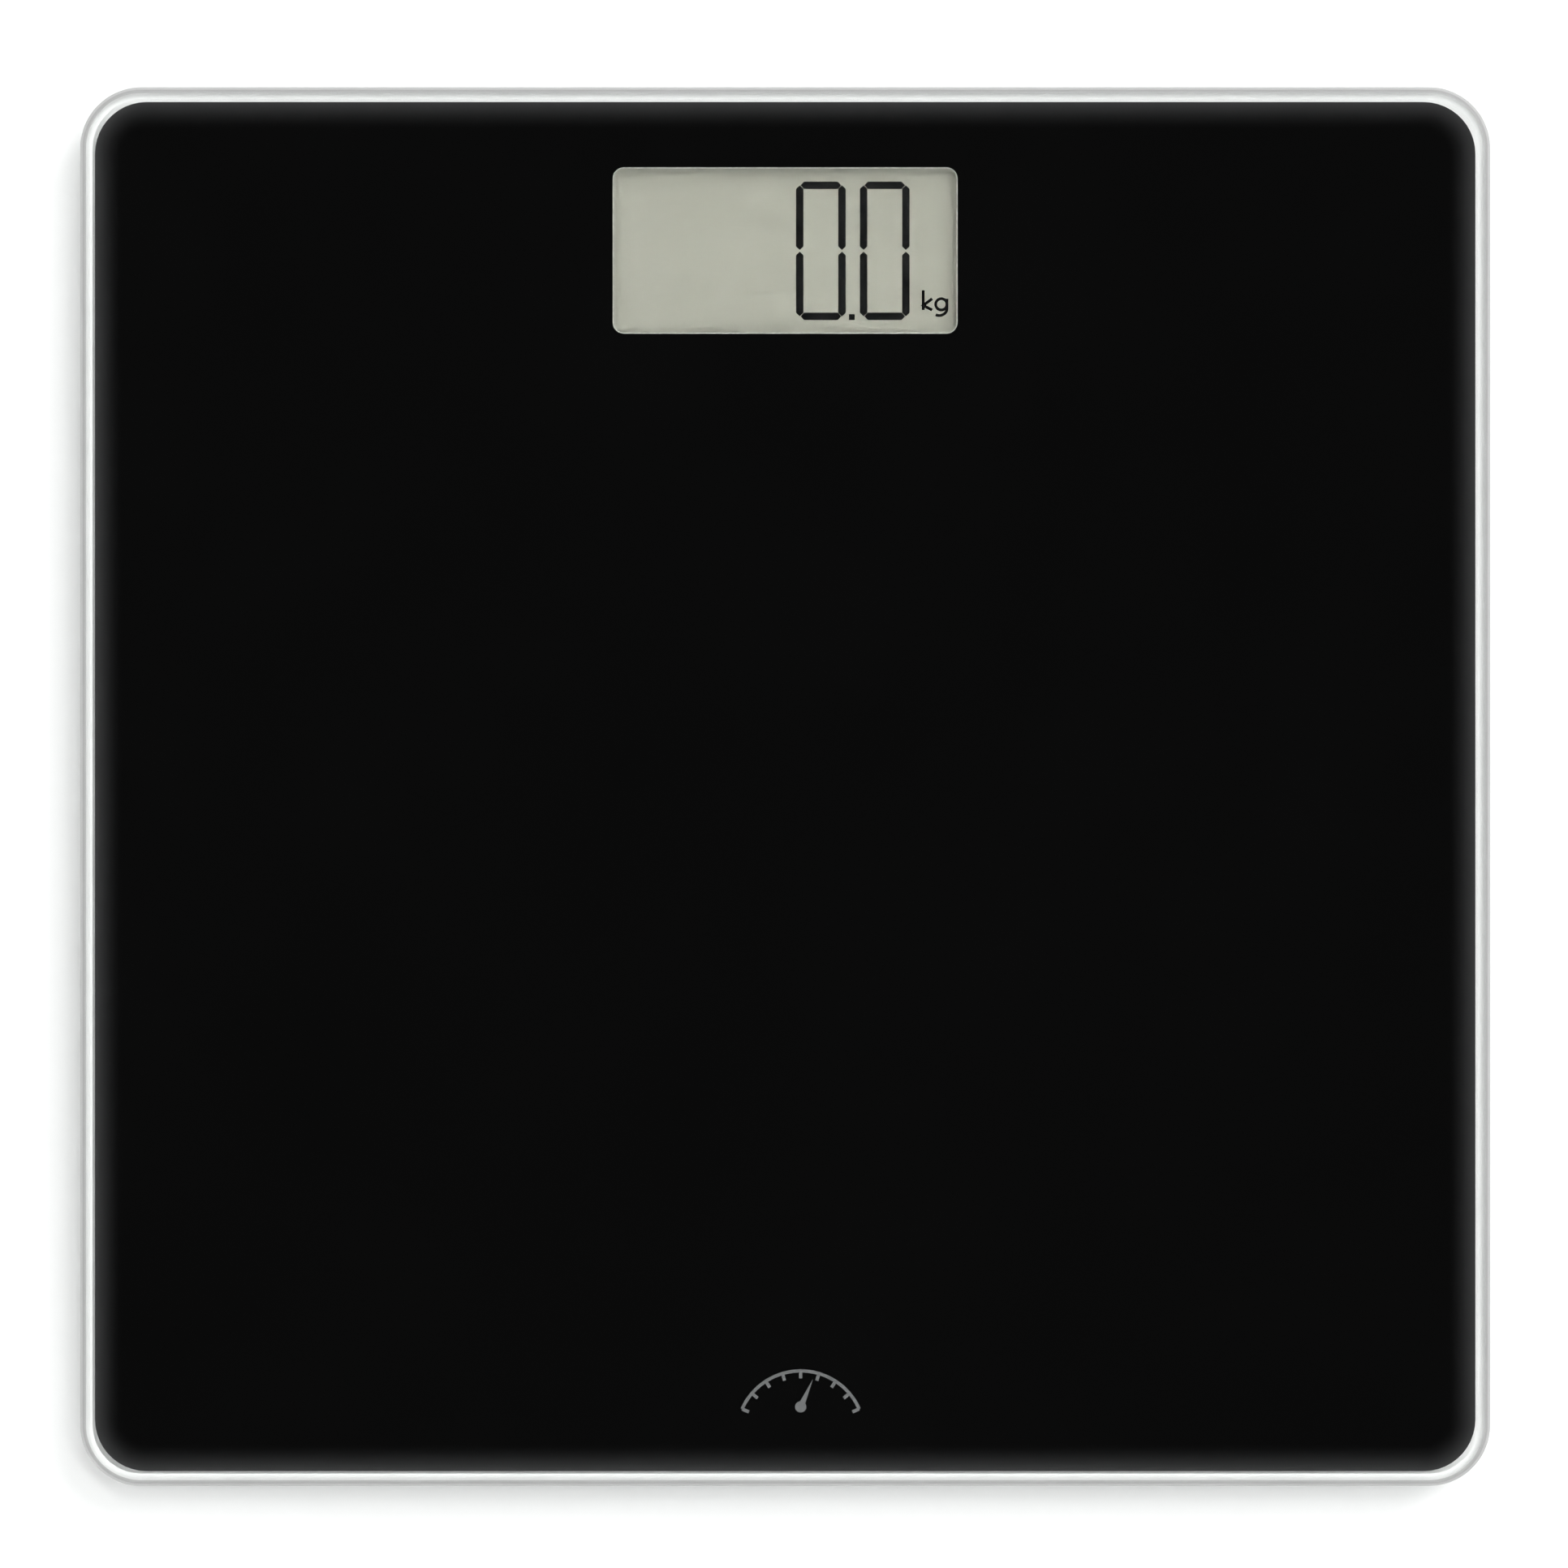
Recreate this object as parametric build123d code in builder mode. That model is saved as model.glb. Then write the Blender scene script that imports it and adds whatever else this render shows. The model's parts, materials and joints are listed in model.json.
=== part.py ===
from build123d import *
import math
import os

# Digital bathroom scale: a tempered glass platform on four load-cell feet, with a display
# module glued under the glass. Sizes are in millimetres. +Z is up, +Y points to the display
# end and +X to the right of a person who faces the display. The origin is on the floor,
# under the middle of the platform.

os.makedirs("parts", exist_ok=True)

# ---- driving dimensions ----

# glass platform and its back print
overall_height = 23.0
glass_width = 300.0
glass_depth = 297.6
glass_thickness = 6.0
glass_corner_radius = 13.0
glass_edge_round = 2.6
print_border = 3.1
print_thickness = 0.15
print_corner_radius = 11.0
tape_thickness = 0.5

# display window, centred across the platform near its +Y edge
window_width = 73.4
window_depth = 35.4
window_corner_radius = 2.4
window_y = 114.1
gasket_step = 0.2
gasket_width = 3.5

# dial mark printed near the -Y edge
mark_x = 3.3
mark_y = -128.6
dial_radius = 14.0
dial_line = 0.7
dial_half_angle = 66.0
dial_top = 4.6
dial_tick_count = 9
dial_tick_length = 1.6
dial_needle_length = 6.4
dial_needle_tilt = 24.0
dial_hub_radius = 1.2

# feet, one near each corner
foot_x = 112.0
foot_y = 110.0
cup_radius = 28.0
cup_wall = 2.2
cup_plate = 2.0
cup_bottom = 5.0
cup_lip_radius = 22.6
cup_lip_thickness = 1.5
cup_chamfer = 0.8
cell_size = 34.0
cell_thickness = 1.5
cell_corner_radius = 4.0
cell_frame = 4.5
cell_recess = 1.7
cell_slot = 2.0
cell_tongue_width = 14.0
cell_tongue_tip = -8.5
cell_clearance = 0.2
potting_length = 8.0
potting_width = 10.0
potting_height = 1.2
potting_start = 3.5
potting_corner_radius = 1.5
pad_radius = 22.0
pad_height = 2.2
pad_bite = 0.6
pad_groove_count = 3
pad_groove_depth = 0.5
pad_groove_width = 1.2
pad_groove_pitch = 4.0
pad_edge_round = 0.6
disc_radius = 26.0
disc_thickness = 2.4
disc_edge_round = 0.8
boss_radius = 4.5
nub_radius = 2.5
nub_height = 0.75
rib_width = 1.4
rib_height = 2.0
rib_end_gap = 1.0
arm_count = 3
arm_start_angle = 60
arm_width = 7.0
arm_thickness = 1.8
arm_reach = 21.8
arm_set_back = 0.3
hook_gap = 0.8
hook_height = 1.5
hook_reach = 23.8
hook_set_back = 0.6

# sensor leads: three cores side by side
core_radius = 0.5
core_pitch = 1.15
core_gap = 0.05
lead_slot_width = 4.4
lead_slot_overrun = 1.0
lead_front_y = foot_y
lead_back_y = 99.1
lead_run_x = 70.0
lead_turn_radius = 8.0
lead_rise_radius = 6.0
lead_drop_radius = 4.0
lead_rise_inset = 3.0
lead_pad_x = 49.0
lead_pad_slot = 2.0
lead_cover_width = 7.0
lead_cover_wall = 1.2
lead_cover_web = 0.8
lead_cover_gap = 0.2
lead_cover_start = -98.0
lead_cover_end = 88.0

# display housing and its rear cover
housing_width = 124.0
housing_depth = 60.0
housing_corner_radius = 4.0
housing_wall = 2.0
housing_plate = 2.0
cover_bottom = 3.6
cover_thickness = 1.6
cover_edge_round = 0.8
cover_lip_height = 1.4
cover_lip_thickness = 1.2
cover_lip_gap = 0.2
screw_spacing_x = 113.0
screw_spacing_y = 49.0
screw_boss_radius = 3.2
screw_radius = 1.05
screw_pilot_radius = 1.1
screw_length = 8.0
screw_head_radius = 2.1
screw_head_height = 0.9
screw_head_sink = 0.1
screw_hole_gap = 0.1
screw_head_gap = 0.15
countersink_angle = 90
cross_width = 0.5
cross_length = 2.4
cross_depth = 0.5

# liquid crystal cell
cell_glass_width = 82.0
cell_glass_depth = 43.0
rear_glass_depth = 37.0
front_glass_thickness = 0.9
rear_glass_thickness = 1.1
polarizer_width = 78.0
polarizer_depth = 40.0
polarizer_thickness = 0.2
segment_layer = 0.1
reflector_thickness = 0.2
holder_width = 88.0
holder_depth = 47.0
holder_shelf = 0.8
holder_clearance = 0.2
zebra_length = 72.0
zebra_thickness = 2.0

# digits of the reading, from the window's centre
digit_left_x = (2.3, 15.9)
digit_width = 10.6
digit_height = 29.5
digit_stroke = 1.6
digit_gap = 0.35
digit_point = 0.75
point_x = 14.2
point_size = 1.25
unit_stroke = 0.62
unit_x = 29.4
unit_height = 4.2
unit_arm = 1.9
unit_baseline = -12.6
unit_bowl_x = 33.25
unit_bowl_radius = 1.2
unit_tail_drop = 1.0
unit_tail_radius = 1.7

# circuit board
board_width = 104.0
board_depth = 50.0
board_thickness = 1.0
board_corner_radius = 1.0
board_top = 9.9
board_screw_spacing_x = 97.0
board_screw_spacing_y = 42.0
board_post_radius = 2.4
board_screw_length = 5.0
blob_x = 6.0
blob_y = 3.0
blob_radius = 6.0
blob_height = 1.4
resistor_size = (1.6, 0.8, 0.5)
resistor_grid = (3.2, 3.0, 2, 5)
resistor_offset = 12.0
capacitor_size = (2.0, 1.25, 0.9)
capacitor_grid = (5.0, 4.0, 4, 2)
capacitor_y = -14.0
crystal_radius = 1.0
crystal_length = 6.0
crystal_offset_x = -4.0
crystal_offset_y = 10.0

# coin cell, its bay, contacts and door
battery_x = -28.0
battery_radius = 10.0
battery_height = 3.2
battery_bottom = 5.15
battery_step = 0.3
battery_rim = 1.3
battery_gap = 0.1
bay_width = 21.4
bay_length = 24.0
bay_wall = 1.2
bay_top = 8.3
door_gap = 0.3
door_thickness = 1.4
door_tab_width = 3.6
door_tab_spacing = 12.0
door_tab_reach = 2.5
door_tab_gap = 0.2
door_tab_thickness = 1.0
door_tab_root = 2.0
latch_width = 2.6
latch_spacing = 17.6
latch_thickness = 0.9
latch_height = 2.4
grip_count = 4
grip_pitch = 1.8
grip_start = 5.2
grip_length = 12.0
grip_width = 0.8
grip_depth = 0.4
contact_width = 4.0
contact_thickness = 0.25
leaf_root = -9.0
leaf_bend = -4.0
leaf_touch = -1.0
leaf_tip = 3.0
blade_gap = 0.02
blade_rise = 0.6
blade_foot = 5.0
scoop_radius = 6.0
scoop_depth = 0.9

# unit button and its switch
button_x = 30.0
button_y = -8.0
button_radius = 4.0
button_gap = 0.3
button_recess = 0.3
button_flange_radius = 5.4
button_flange_thickness = 0.6
button_top = 5.9
button_chamfer = 0.4
switch_size = 6.0
switch_height = 2.4
switch_corner_cut = 0.5
switch_bore_depth = 1.7
plunger_radius = 1.6
plunger_clearance = 0.1
plunger_length = 1.5

# ---- heights that follow from the dimensions above ----

glass_bottom = overall_height - glass_thickness
print_bottom = glass_bottom - print_thickness
housing_top = print_bottom - tape_thickness

cup_plate_bottom = housing_top - cup_plate
cell_top = cup_plate_bottom - cell_recess
cell_bottom = cell_top - cell_thickness
disc_bottom = pad_height - pad_bite
disc_top = disc_bottom + disc_thickness

housing_plate_bottom = housing_top - housing_plate
cover_top = cover_bottom + cover_thickness
front_glass_top = housing_plate_bottom - polarizer_thickness
front_glass_bottom = front_glass_top - front_glass_thickness
rear_glass_top = front_glass_bottom - segment_layer
rear_glass_bottom = rear_glass_top - rear_glass_thickness
reflector_bottom = rear_glass_bottom - reflector_thickness
board_bottom = board_top - board_thickness

lead_top_z = print_bottom - core_gap - core_radius
lead_start_z = cell_top + core_gap + core_radius
lead_start_u = potting_start + potting_length

display = Plane((0, window_y, 0))
display_back = Plane(origin=(0, window_y, 0), x_dir=(1, 0, 0), z_dir=(0, 0, -1))


def save(piece, name):
    """Label a finished piece and write it to its own file."""
    piece.part.label = name
    export_step(piece.part, f"parts/{name}.step")


# ---- platform ----

def make_glass_platform():
    with BuildPart() as glass_platform:
        with BuildSketch(Plane.XY.offset(glass_bottom)):
            RectangleRounded(glass_width, glass_depth, glass_corner_radius)
        extrude(amount=glass_thickness)
        rim = glass_platform.edges().group_by(Axis.Z)
        fillet(rim[0] + rim[-1], radius=glass_edge_round)
    save(glass_platform, "glass_platform")


def make_mark_sketch():
    """A generic dial: an arc with ticks, and a needle on a hub."""
    centre = (mark_x, mark_y + dial_top - dial_radius)
    inner_radius = dial_radius - dial_line
    start_angle = 90 - dial_half_angle
    tick_radius = inner_radius - dial_tick_length / 2 + dial_line / 2
    hub = (mark_x, mark_y - dial_top + dial_hub_radius)
    tilt = math.radians(dial_needle_tilt)
    tip = (hub[0] + dial_needle_length * math.sin(tilt), hub[1] + dial_needle_length * math.cos(tilt))
    side = (dial_line * math.cos(tilt), -dial_line * math.sin(tilt))
    with BuildSketch(Plane.XY.offset(print_bottom)) as mark:
        with BuildLine():
            outer = CenterArc(centre, dial_radius, start_angle, 2 * dial_half_angle)
            inner = CenterArc(centre, inner_radius, start_angle, 2 * dial_half_angle)
            Line(outer @ 0, inner @ 0)
            Line(outer @ 1, inner @ 1)
        make_face()
        with Locations(centre):
            with PolarLocations(
                tick_radius, dial_tick_count, start_angle, 2 * dial_half_angle, endpoint=True
            ):
                Rectangle(dial_tick_length, dial_line)
        with Locations(hub):
            Circle(dial_hub_radius)
        with BuildLine():
            Polyline(
                (hub[0] - side[0], hub[1] - side[1]),
                tip,
                (hub[0] + side[0], hub[1] + side[1]),
                close=True,
            )
        make_face()
    return mark


def make_platform_print():
    mark = make_mark_sketch()
    with BuildPart() as platform_print:
        with BuildSketch(Plane.XY.offset(print_bottom)):
            RectangleRounded(
                glass_width - 2 * print_border, glass_depth - 2 * print_border, print_corner_radius
            )
            with Locations((0, window_y)):
                RectangleRounded(
                    window_width, window_depth, window_corner_radius, mode=Mode.SUBTRACT
                )
        extrude(amount=print_thickness)
        extrude(mark.sketch, amount=print_thickness, mode=Mode.SUBTRACT)
    save(platform_print, "platform_print")

    with BuildPart() as platform_mark:
        extrude(mark.sketch, amount=print_thickness)
    save(platform_mark, "platform_mark")


# ---- display housing ----

def make_lead_slots(height):
    """Sketch of the slots in the housing's sides, where the leads of all four feet come in."""
    inner_x = lead_pad_x - lead_pad_slot
    length = housing_width / 2 + lead_slot_overrun - inner_x
    with BuildSketch(Plane.XY.offset(height)) as lead_slots:
        for side in (-1, 1):
            for y in (lead_front_y, lead_back_y):
                with Locations((side * (inner_x + length / 2), y)):
                    Rectangle(length, lead_slot_width)
    return lead_slots.sketch


def make_display_tape():
    tape_inner_width = window_width + 2 * gasket_width + gasket_step
    tape_inner_depth = window_depth + 2 * gasket_width + gasket_step
    lead_slots = make_lead_slots(housing_top)
    with BuildPart() as display_tape:
        with BuildSketch(display.offset(housing_top)):
            RectangleRounded(housing_width, housing_depth, housing_corner_radius)
            RectangleRounded(
                tape_inner_width, tape_inner_depth, window_corner_radius, mode=Mode.SUBTRACT
            )
        extrude(amount=tape_thickness)
        extrude(lead_slots, amount=tape_thickness, mode=Mode.SUBTRACT)
    save(display_tape, "display_tape")


def make_window_gasket():
    """Dust gasket round the window. Its inner edge shows just inside the print."""
    opening_width = window_width - 2 * gasket_step
    opening_depth = window_depth - 2 * gasket_step
    with BuildPart() as window_gasket:
        with BuildSketch(display.offset(housing_top)):
            RectangleRounded(
                opening_width + 2 * gasket_width, opening_depth + 2 * gasket_width, window_corner_radius
            )
            RectangleRounded(
                opening_width,
                opening_depth,
                window_corner_radius - gasket_step,
                mode=Mode.SUBTRACT,
            )
        extrude(amount=tape_thickness)
    save(window_gasket, "window_gasket")


def make_display_housing():
    lead_slots = make_lead_slots(housing_plate_bottom)
    with BuildPart() as display_housing:
        with BuildSketch(display.offset(cover_top)):
            RectangleRounded(housing_width, housing_depth, housing_corner_radius)
        extrude(amount=housing_top - cover_top)
        with BuildSketch(display.offset(cover_top)):
            RectangleRounded(
                housing_width - 2 * housing_wall,
                housing_depth - 2 * housing_wall,
                housing_corner_radius - housing_wall,
            )
        extrude(amount=housing_plate_bottom - cover_top, mode=Mode.SUBTRACT)
        with BuildSketch(display.offset(housing_plate_bottom)):
            RectangleRounded(window_width, window_depth, window_corner_radius)
        extrude(amount=housing_plate, mode=Mode.SUBTRACT)

        # bosses for the cover screws and posts for the board screws
        with BuildSketch(display.offset(cover_top)):
            with GridLocations(screw_spacing_x, screw_spacing_y, 2, 2):
                Circle(screw_boss_radius)
        extrude(amount=housing_plate_bottom - cover_top)
        with BuildSketch(display.offset(board_top)):
            with GridLocations(board_screw_spacing_x, board_screw_spacing_y, 2, 2):
                Circle(board_post_radius)
        extrude(amount=housing_plate_bottom - board_top)
        with Locations(display_back.offset(-cover_top)):
            with GridLocations(screw_spacing_x, screw_spacing_y, 2, 2):
                Hole(screw_pilot_radius, depth=screw_length)
        with Locations(display_back.offset(-board_top)):
            with GridLocations(board_screw_spacing_x, board_screw_spacing_y, 2, 2):
                Hole(screw_pilot_radius, depth=housing_plate_bottom - board_top)

        extrude(lead_slots, amount=housing_plate, mode=Mode.SUBTRACT)
    save(display_housing, "display_housing")


def make_rear_cover():
    lip_y = housing_depth / 2 - housing_wall - cover_lip_gap - cover_lip_thickness / 2
    lip_x = housing_width / 2 - housing_wall - cover_lip_gap - cover_lip_thickness / 2
    lip_long = screw_spacing_x - 4 * screw_boss_radius
    lip_short = screw_spacing_y - 4 * screw_boss_radius
    with BuildPart() as rear_cover:
        with BuildSketch(display.offset(cover_bottom)):
            RectangleRounded(housing_width, housing_depth, housing_corner_radius)
        extrude(amount=cover_thickness)
        fillet(rear_cover.edges().group_by(Axis.Z)[0], radius=cover_edge_round)

        # locating lip inside the housing wall
        with BuildSketch(display.offset(cover_top)):
            with GridLocations(0, 2 * lip_y, 1, 2):
                Rectangle(lip_long, cover_lip_thickness)
            with GridLocations(2 * lip_x, 0, 2, 1):
                Rectangle(cover_lip_thickness, lip_short)
        extrude(amount=cover_lip_height)

        # battery bay: three walls round the opening, open on the hinge side
        with BuildSketch(display.offset(cover_top)):
            with Locations((battery_x, bay_wall / 2)):
                Rectangle(bay_width + 2 * bay_wall, bay_length + bay_wall)
        extrude(amount=bay_top - cover_top)
        with BuildSketch(display.offset(cover_bottom)):
            with Locations((battery_x, 0)):
                Rectangle(bay_width, bay_length)
        extrude(amount=bay_top - cover_bottom, mode=Mode.SUBTRACT)

        # fingernail scoop beside the door's free edge
        scoop_z = cover_bottom + scoop_depth - scoop_radius
        with Locations((battery_x, window_y + bay_length / 2, scoop_z)):
            Sphere(scoop_radius, mode=Mode.SUBTRACT)

        # hole for the unit button
        with Locations(display_back.offset(-cover_bottom)):
            with Locations((button_x, -button_y)):
                Hole(button_radius + button_gap)

        # countersunk screw holes
        with Locations(display_back.offset(-cover_bottom)):
            with GridLocations(screw_spacing_x, screw_spacing_y, 2, 2):
                CounterSinkHole(
                    screw_pilot_radius + screw_hole_gap,
                    screw_head_radius + screw_head_gap,
                    counter_sink_angle=countersink_angle,
                )
    save(rear_cover, "rear_cover")


def make_screws(name, plane, spacing_x, spacing_y, length):
    """Four countersunk screws. The plane is the face their heads are let into."""
    with BuildPart() as screws:
        with Locations(plane.offset(-screw_head_sink)):
            with GridLocations(spacing_x, spacing_y, 2, 2):
                Cylinder(
                    screw_radius, length, align=(Align.CENTER, Align.CENTER, Align.MAX)
                )
                Cone(
                    screw_radius,
                    screw_head_radius,
                    screw_head_height,
                    align=(Align.CENTER, Align.CENTER, Align.MAX),
                )
                for angle in (0, 90):
                    Box(
                        cross_length,
                        cross_width,
                        cross_depth,
                        rotation=(0, 0, angle),
                        align=(Align.CENTER, Align.CENTER, Align.MAX),
                        mode=Mode.SUBTRACT,
                    )
    save(screws, name)


# ---- liquid crystal cell ----

def make_plate(name, bottom, width, depth, thickness):
    with BuildPart() as plate:
        with BuildSketch(display.offset(bottom)):
            Rectangle(width, depth)
        extrude(amount=thickness)
    save(plate, name)


def segment_outline(start, length, along_x):
    """Corners of one lit segment with pointed ends, from its lower or left tip."""
    half = digit_stroke / 2
    point = digit_point
    if along_x:
        outline = [
            (0, 0), (point, half), (length - point, half),
            (length, 0), (length - point, -half), (point, -half),
        ]
    else:
        outline = [
            (0, 0), (half, point), (half, length - point),
            (0, length), (-half, length - point), (-half, point),
        ]
    return [(start[0] + x, start[1] + y) for x, y in outline]


def make_lcd_digits():
    half_height = digit_height / 2
    half_stroke = digit_stroke / 2
    side_length = half_height - half_stroke - digit_gap / 2
    with BuildPart() as lcd_digits:
        with BuildSketch(display.offset(rear_glass_top)):
            for left in digit_left_x:
                middle_left = left + half_stroke
                middle_right = left + digit_width - half_stroke
                for x in (middle_left, middle_right):
                    for y in (digit_gap / 2, -digit_gap / 2 - side_length):
                        Polygon(*segment_outline((x, y), side_length, False), align=None)
                bar_start = middle_left + digit_gap / 2
                bar_length = middle_right - middle_left - digit_gap
                for y in (half_height - half_stroke, half_stroke - half_height):
                    Polygon(*segment_outline((bar_start, y), bar_length, True), align=None)
            with Locations((point_x, point_size / 2 - half_height)):
                Rectangle(point_size, point_size)
        extrude(amount=segment_layer)
        with BuildSketch(display.offset(rear_glass_top)):
            # the unit: a k and a g drawn with strokes of one width
            with BuildLine():
                Line((unit_x, unit_baseline), (unit_x, unit_baseline + unit_height))
            trace(line_width=unit_stroke)
            with BuildLine():
                waist = (unit_x, unit_baseline + unit_arm / 2)
                Polyline(
                    (unit_x + unit_arm, unit_baseline),
                    waist,
                    (unit_x + unit_arm, unit_baseline + 2 * unit_bowl_radius),
                )
            trace(line_width=unit_stroke)
        extrude(amount=segment_layer)
        with BuildSketch(display.offset(rear_glass_top)):
            with Locations((unit_bowl_x, unit_baseline + unit_bowl_radius)):
                Circle(unit_bowl_radius + unit_stroke / 2)
                Circle(unit_bowl_radius - unit_stroke / 2, mode=Mode.SUBTRACT)
            with BuildLine():
                stem_x = unit_bowl_x + unit_bowl_radius
                Line((stem_x, unit_baseline + 2 * unit_bowl_radius), (stem_x, unit_baseline))
                RadiusArc(
                    (stem_x, unit_baseline),
                    (unit_bowl_x - unit_bowl_radius, unit_baseline - unit_tail_drop),
                    unit_tail_radius,
                )
            trace(line_width=unit_stroke)
        extrude(amount=segment_layer)
    save(lcd_digits, "lcd_digits")


def make_lcd_holder():
    shelf_bottom = reflector_bottom - holder_shelf
    zebra_y = (cell_glass_depth + rear_glass_depth) / 4
    with BuildPart() as lcd_holder:
        with BuildSketch(display.offset(board_top)):
            Rectangle(holder_width, holder_depth)
        extrude(amount=housing_plate_bottom - board_top)
        with BuildSketch(display.offset(reflector_bottom)):
            Rectangle(
                cell_glass_width + 2 * holder_clearance, cell_glass_depth + 2 * holder_clearance
            )
        extrude(amount=housing_plate_bottom - reflector_bottom, mode=Mode.SUBTRACT)
        with BuildSketch(display.offset(board_top)):
            Rectangle(cell_glass_width, rear_glass_depth - 2 * holder_shelf)
        extrude(amount=shelf_bottom - board_top, mode=Mode.SUBTRACT)
        with BuildSketch(display.offset(board_top)):
            with GridLocations(0, 2 * zebra_y, 1, 2):
                Rectangle(zebra_length + 2 * holder_clearance, zebra_thickness + 2 * holder_clearance)
        extrude(amount=reflector_bottom - board_top, mode=Mode.SUBTRACT)
    save(lcd_holder, "lcd_holder")

    with BuildPart() as zebra_strips:
        with BuildSketch(display.offset(board_top)):
            with GridLocations(0, 2 * zebra_y, 1, 2):
                Rectangle(zebra_length, zebra_thickness)
        extrude(amount=front_glass_bottom - board_top)
    save(zebra_strips, "zebra_strips")


# ---- circuit board ----

def make_main_board():
    with BuildPart() as main_board:
        with BuildSketch(display.offset(board_bottom)):
            RectangleRounded(board_width, board_depth, board_corner_radius)
        extrude(amount=board_thickness)
        with Locations(display_back.offset(-board_bottom)):
            with GridLocations(board_screw_spacing_x, board_screw_spacing_y, 2, 2):
                CounterSinkHole(
                    screw_pilot_radius + screw_hole_gap,
                    screw_head_radius + screw_head_gap,
                    counter_sink_angle=countersink_angle,
                )
    save(main_board, "main_board")


def make_controller_blob():
    cap_radius = (blob_radius**2 + blob_height**2) / (2 * blob_height)
    with BuildPart() as controller_blob:
        with Locations((blob_x, window_y + blob_y, board_bottom - blob_height + cap_radius)):
            Sphere(cap_radius)
        split(bisect_by=Plane.XY.offset(board_bottom), keep=Keep.BOTTOM)
    save(controller_blob, "controller_blob")


def make_board_components():
    crystal_x = blob_x + crystal_offset_x
    crystal_y = window_y + blob_y + crystal_offset_y
    with BuildPart() as board_components:
        with Locations(display_back.offset(-board_bottom)):
            with Locations((blob_x + resistor_offset, -blob_y)):
                with GridLocations(*resistor_grid):
                    Box(*resistor_size, align=(Align.CENTER, Align.CENTER, Align.MIN))
            with Locations((blob_x, -capacitor_y)):
                with GridLocations(*capacitor_grid):
                    Box(*capacitor_size, align=(Align.CENTER, Align.CENTER, Align.MIN))
        with Locations((crystal_x, crystal_y, board_bottom - crystal_radius)):
            Cylinder(crystal_radius, crystal_length, rotation=(0, 90, 0))
    save(board_components, "board_components")


# ---- coin cell, contacts and door ----

def make_battery():
    battery_y = bay_length / 2 - door_gap - battery_gap - battery_radius
    place = display.offset(battery_bottom)
    with BuildPart() as battery:
        with BuildSketch(place):
            with Locations((battery_x, battery_y)):
                Circle(battery_radius)
        extrude(amount=battery_height - battery_step)
        fillet(battery.edges().group_by(Axis.Z)[0], radius=battery_step)
        with BuildSketch(place.offset(battery_height - battery_step)):
            with Locations((battery_x, battery_y)):
                Circle(battery_radius - battery_rim)
        extrude(amount=battery_step)
    save(battery, "battery")
    return battery_y


def make_battery_contacts(battery_y):
    battery_top = battery_bottom + battery_height
    centre_y = window_y + battery_y

    # leaf from a pad on the board down to the middle of the cell
    with BuildPart() as battery_contact_negative:
        with BuildSketch(Plane.YZ.offset(battery_x - contact_width / 2)):
            with BuildLine():
                Polyline(
                    (centre_y + leaf_root, board_bottom),
                    (centre_y + leaf_bend, board_bottom),
                    (centre_y + leaf_touch, battery_top + contact_thickness),
                    (centre_y + leaf_tip, battery_top + contact_thickness),
                    (centre_y + leaf_tip, battery_top),
                    (centre_y + leaf_touch, battery_top),
                    (centre_y + leaf_bend, board_bottom - contact_thickness),
                    (centre_y + leaf_root, board_bottom - contact_thickness),
                    close=True,
                )
            make_face()
        extrude(amount=contact_width)
    save(battery_contact_negative, "battery_contact_negative")

    # blade beside the can, with a foot on the board
    blade_x = battery_x + battery_radius + blade_gap
    blade_bottom = battery_bottom + blade_rise
    with BuildPart() as battery_contact_positive:
        with BuildSketch(Plane.XZ.offset(-centre_y - contact_width / 2)):
            with BuildLine():
                Polyline(
                    (blade_x, blade_bottom),
                    (blade_x + contact_thickness, blade_bottom),
                    (blade_x + contact_thickness, board_bottom - contact_thickness),
                    (blade_x + blade_foot, board_bottom - contact_thickness),
                    (blade_x + blade_foot, board_bottom),
                    (blade_x, board_bottom),
                    close=True,
                )
            make_face()
        extrude(amount=contact_width)
    save(battery_contact_positive, "battery_contact_positive")


def make_battery_door():
    plate_width = bay_width - 2 * door_gap
    plate_length = bay_length - 2 * door_gap
    hinge_y = -bay_length / 2
    door_top = cover_bottom + door_thickness
    tab_bottom = cover_top + door_tab_gap
    with BuildPart() as battery_door:
        with BuildSketch(display.offset(cover_bottom)):
            with Locations((battery_x, 0)):
                Rectangle(plate_width, plate_length)
        extrude(amount=door_thickness)

        # two tabs that reach over the cover and turn on its edge
        with BuildSketch(display.offset(door_top)):
            with Locations((battery_x, hinge_y + door_gap + (door_tab_root - door_gap) / 2)):
                with GridLocations(door_tab_spacing, 0, 2, 1):
                    Rectangle(door_tab_width, door_tab_root - door_gap)
        extrude(amount=tab_bottom + door_tab_thickness - door_top)
        with BuildSketch(display.offset(tab_bottom)):
            with Locations((battery_x, hinge_y + (door_tab_root - door_tab_reach) / 2)):
                with GridLocations(door_tab_spacing, 0, 2, 1):
                    Rectangle(door_tab_width, door_tab_root + door_tab_reach)
        extrude(amount=door_tab_thickness)

        # two snap fingers at the free edge
        latch_y = bay_length / 2 - door_gap - latch_thickness / 2
        with BuildSketch(display.offset(door_top)):
            with Locations((battery_x, latch_y)):
                with GridLocations(latch_spacing, 0, 2, 1):
                    Rectangle(latch_width, latch_thickness)
        extrude(amount=latch_height)

        # grooves for a fingertip near the free edge
        with BuildSketch(display.offset(cover_bottom)):
            with Locations((battery_x, bay_length / 2 - grip_start)):
                with GridLocations(0, grip_pitch, 1, grip_count):
                    SlotOverall(grip_length, grip_width)
        extrude(amount=grip_depth, mode=Mode.SUBTRACT)
    save(battery_door, "battery_door")


# ---- unit button and its switch ----

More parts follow.
